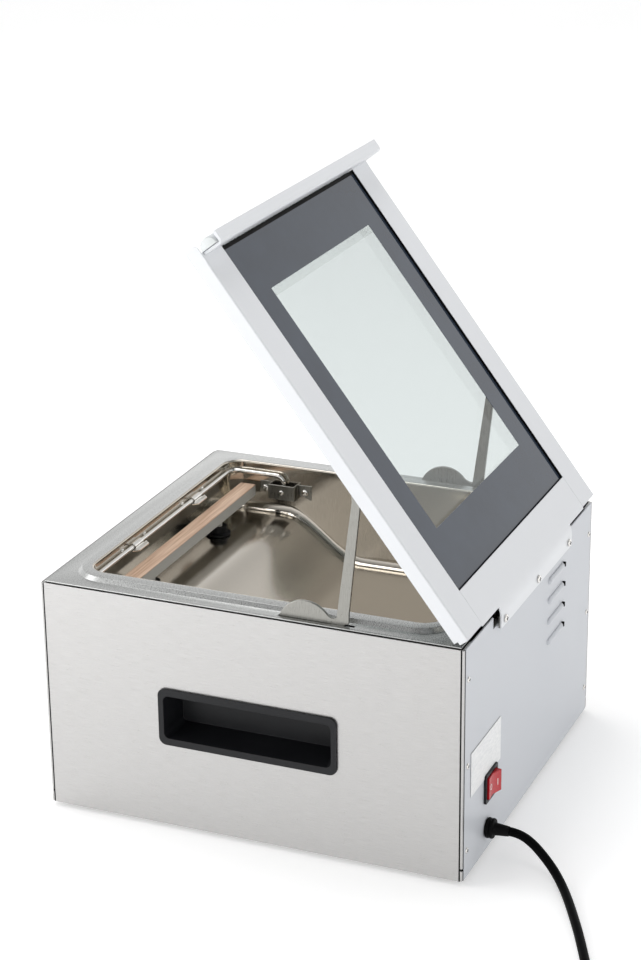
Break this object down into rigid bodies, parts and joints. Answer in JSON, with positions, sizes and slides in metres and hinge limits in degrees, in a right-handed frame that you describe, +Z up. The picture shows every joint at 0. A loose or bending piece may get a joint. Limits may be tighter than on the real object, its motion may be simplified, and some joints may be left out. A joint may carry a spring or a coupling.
{
  "type": "chamber vacuum sealer",
  "caption": "Table-top chamber vacuum sealer with a glazed lid sprung open, a stepped steel chamber, a seal bar, recessed carry handles and a mains lead.",
  "frame": {"origin": "on the table, under the middle of the case", "axes": "+Z up, -Y towards the operator (control panel and lid grip side), +X to the side of the rear panel that has the power switch and mains lead"},
  "size_m": [0.657, 0.5767, 0.5508],
  "materials": {
    "brushed_case": "fine brushed grain",
    "chamber_steel": "satin, nearly mirror",
    "rear_paint": "smooth pale grey",
    "lid_paint": "satin white",
    "grip_grey": "satin light grey",
    "lid_glass": "clear with a dark printed border",
    "lid_seal": "pale silicone",
    "bright_wire": "polished",
    "seal_metal": "mill finish",
    "seal_tape": "woven PTFE tape",
    "black_plastic": "satin black",
    "display_glass": "gloss black",
    "button_grey": "satin",
    "rocker_red": "gloss red",
    "black_rubber": "matte",
    "label_film": "satin silver-white film",
    "pin_metal": "plated",
    "pump_casting": "painted casting",
    "transformer_core": "varnished laminations and windings",
    "board_green": "circuit board"
  },
  "bodies": {
    "case": {"base_pan": "brushed_case", "case_frame": "brushed_case", "left_side_panel": "brushed_case", "right_side_panel": "brushed_case", "left_carry_handle": "black_plastic", "right_carry_handle": "black_plastic", "front_panel": "brushed_case", "rear_panel": "rear_paint", "left_front_foot": "black_rubber", "right_front_foot": "black_rubber", "left_rear_foot": "black_rubber", "right_rear_foot": "black_rubber", "rating_plate": "label_film", "control_panel": "black_plastic", "display_window": "display_glass", "switch_bezel": "black_plastic", "chamber_basin": "chamber_steel", "chamber_port": "pin_metal", "seal_bar_lift": "black_plastic", "left_bail_bracket": "brushed_case", "right_bail_bracket": "brushed_case", "pump_motor": "pump_casting", "pump_head": "pump_casting", "transformer": "transformer_core", "control_board": "board_green", "solenoid_valve": "pin_metal", "vacuum_hose": "black_rubber", "hinge_bracket": "chamber_steel", "hinge_pin": "chamber_steel", "lid_spring": "chamber_steel", "cable_gland": "black_plastic", "power_cord": "black_rubber", "cord_coil": "black_rubber", "cord_tie": "black_plastic", "cord_tail": "black_rubber", "plug_body": "black_plastic", "plug_pins": "pin_metal"},
    "lid": {"lid_left_side": "lid_paint", "lid_right_side": "lid_paint", "lid_rear_plate": "lid_paint", "lid_front_lip": "lid_paint", "lid_grip_nose": "grip_grey", "lid_glass": "lid_glass", "lid_gasket": "lid_seal", "counter_bar": "lid_seal", "hinge_leaf": "chamber_steel", "lid_screw_1": "bright_wire", "lid_screw_2": "bright_wire", "lid_screw_3": "bright_wire"},
    "left_stay_arm": {"left_stay_arm": "brushed_case"},
    "right_stay_arm": {"right_stay_arm": "brushed_case"},
    "seal_bar": {"seal_bar": "seal_metal", "seal_bar_tape": "seal_tape"},
    "bag_bail": {"bag_bail": "bright_wire", "left_bag_clip": "bright_wire", "right_bag_clip": "bright_wire"},
    "power_rocker": {"power_rocker": "rocker_red"},
    "push_button_1": {"push_button_1": "button_grey"},
    "push_button_2": {"push_button_2": "button_grey"},
    "push_button_3": {"push_button_3": "button_grey"}
  },
  "joints": [
    {"name": "lid_hinge", "type": "hinge", "parent": "case", "child": "lid", "pos_m": [0, 0.1826, 0.214], "axis": [-1, 0, 0], "range_deg": [-52.7, 0], "stiffness_Nm_per_rad": 2.6, "springref_deg": 100.27},
    {"name": "left_arm_pivot", "type": "hinge", "parent": "lid", "child": "left_stay_arm", "pos_m": [-0.171, 0.09868, 0.3466], "axis": [-1, 0, 0], "range_deg": [-12.7, 0]},
    {"name": "right_arm_pivot", "type": "hinge", "parent": "lid", "child": "right_stay_arm", "pos_m": [0.171, 0.09868, 0.3466], "axis": [-1, 0, 0], "range_deg": [-12.7, 0]},
    {"name": "seal_bar_rise", "type": "slide", "parent": "case", "child": "seal_bar", "axis": [0, 0, 1], "range_m": [0, 0.0105]},
    {"name": "bag_bail_rise", "type": "slide", "parent": "case", "child": "bag_bail", "axis": [0, 0, 1], "range_m": [0, 0.02]},
    {"name": "power_rocker_tip", "type": "hinge", "parent": "case", "child": "power_rocker", "pos_m": [0.1115, 0.1959, 0.065], "axis": [0, 0, 1], "range_deg": [0, 18]},
    {"name": "push_button_1_press", "type": "slide", "parent": "case", "child": "push_button_1", "axis": [0, 1, 0], "range_m": [0, 0.0012], "stiffness_N_per_m": 400, "springref_m": -0.0015},
    {"name": "push_button_2_press", "type": "slide", "parent": "case", "child": "push_button_2", "axis": [0, 1, 0], "range_m": [0, 0.0012], "stiffness_N_per_m": 400, "springref_m": -0.0015},
    {"name": "push_button_3_press", "type": "slide", "parent": "case", "child": "push_button_3", "axis": [0, 1, 0], "range_m": [0, 0.0012], "stiffness_N_per_m": 400, "springref_m": -0.0015}
  ],
  "couplings": [
    {"joint": "left_arm_pivot", "follows": "lid_hinge", "ratio": 0.24},
    {"joint": "right_arm_pivot", "follows": "lid_hinge", "ratio": 0.24}
  ]
}
